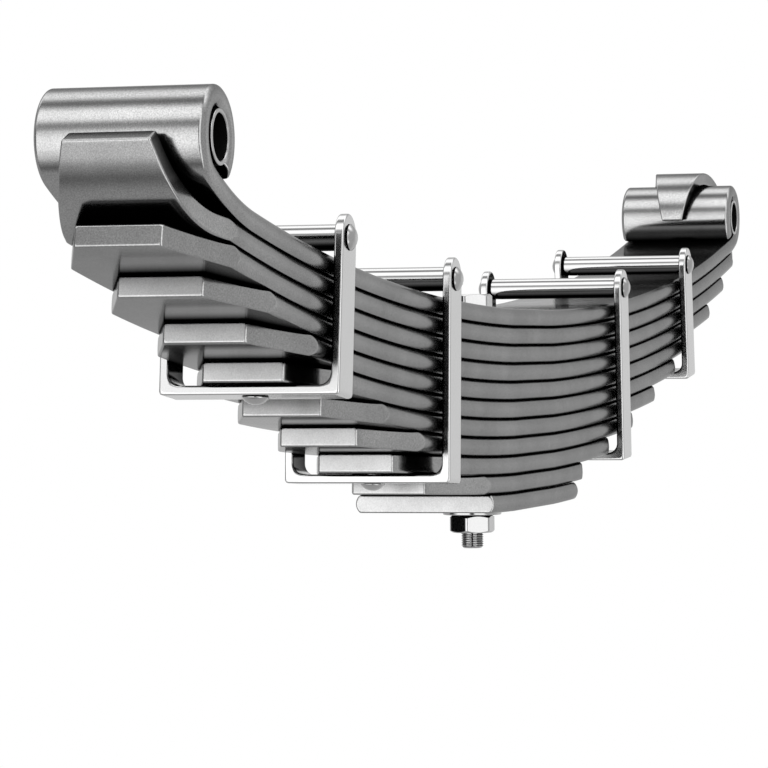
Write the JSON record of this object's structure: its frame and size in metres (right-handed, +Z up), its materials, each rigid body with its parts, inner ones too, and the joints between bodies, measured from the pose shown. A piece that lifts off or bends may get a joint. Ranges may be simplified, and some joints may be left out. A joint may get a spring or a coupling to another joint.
{
  "type": "leaf spring",
  "caption": "Semi-elliptic multi-leaf spring with rolled bushed eyes, a wrapper leaf, tapered leaf tips, riveted rebound clips with spacer tubes and a centre bolt.",
  "frame": {"origin": "centre-bolt axis, on the underside of the shortest leaf, where the spring sits on its axle seat", "axes": "+X along the spring towards the longer half, +Y across the leaves, +Z up towards the eyes"},
  "size_m": [1.2198, 0.0948, 0.2333],
  "materials": {
    "leaf_steel": "satin grey spring steel",
    "bush_steel": "turned steel",
    "clip_zinc": "bright zinc plate",
    "tube_bright": "polished",
    "bolt_zinc": "bright zinc plate"
  },
  "bodies": {
    "spring_pack": {"main_leaf": "leaf_steel", "wrapper_leaf": "leaf_steel", "leaf_3": "leaf_steel", "leaf_4": "leaf_steel", "leaf_5": "leaf_steel", "leaf_6": "leaf_steel", "leaf_7": "leaf_steel", "leaf_8": "leaf_steel", "leaf_9": "leaf_steel", "leaf_10": "leaf_steel", "leaf_11": "leaf_steel", "eye_bush_near": "bush_steel", "eye_bush_far": "bush_steel", "centre_bolt": "bolt_zinc", "centre_nut": "bolt_zinc", "centre_washer": "bolt_zinc", "clip_1_strap": "clip_zinc", "clip_1_pin": "bolt_zinc", "clip_1_leaf_rivet": "bolt_zinc", "clip_2_strap": "clip_zinc", "clip_2_pin": "bolt_zinc", "clip_2_leaf_rivet": "bolt_zinc", "clip_3_strap": "clip_zinc", "clip_3_pin": "bolt_zinc", "clip_3_leaf_rivet": "bolt_zinc", "clip_4_strap": "clip_zinc", "clip_4_pin": "bolt_zinc", "clip_4_leaf_rivet": "bolt_zinc"},
    "clip_1_tube": {"clip_1_spacer_tube": "tube_bright"},
    "clip_2_tube": {"clip_2_spacer_tube": "tube_bright"},
    "clip_3_tube": {"clip_3_spacer_tube": "tube_bright"},
    "clip_4_tube": {"clip_4_spacer_tube": "tube_bright"}
  },
  "joints": [
    {"name": "clip_1_tube_spin", "type": "hinge", "parent": "spring_pack", "child": "clip_1_tube", "pos_m": [-0.38752, 0, 0.14135], "axis": [0, 1, 0], "continuous": true},
    {"name": "clip_2_tube_spin", "type": "hinge", "parent": "spring_pack", "child": "clip_2_tube", "pos_m": [-0.1955, 0, 0.12487], "axis": [0, 1, 0], "continuous": true},
    {"name": "clip_3_tube_spin", "type": "hinge", "parent": "spring_pack", "child": "clip_3_tube", "pos_m": [0.20348, 0, 0.12532], "axis": [0, 1, 0], "continuous": true},
    {"name": "clip_4_tube_spin", "type": "hinge", "parent": "spring_pack", "child": "clip_4_tube", "pos_m": [0.39888, 0, 0.14274], "axis": [0, 1, 0], "continuous": true}
  ]
}
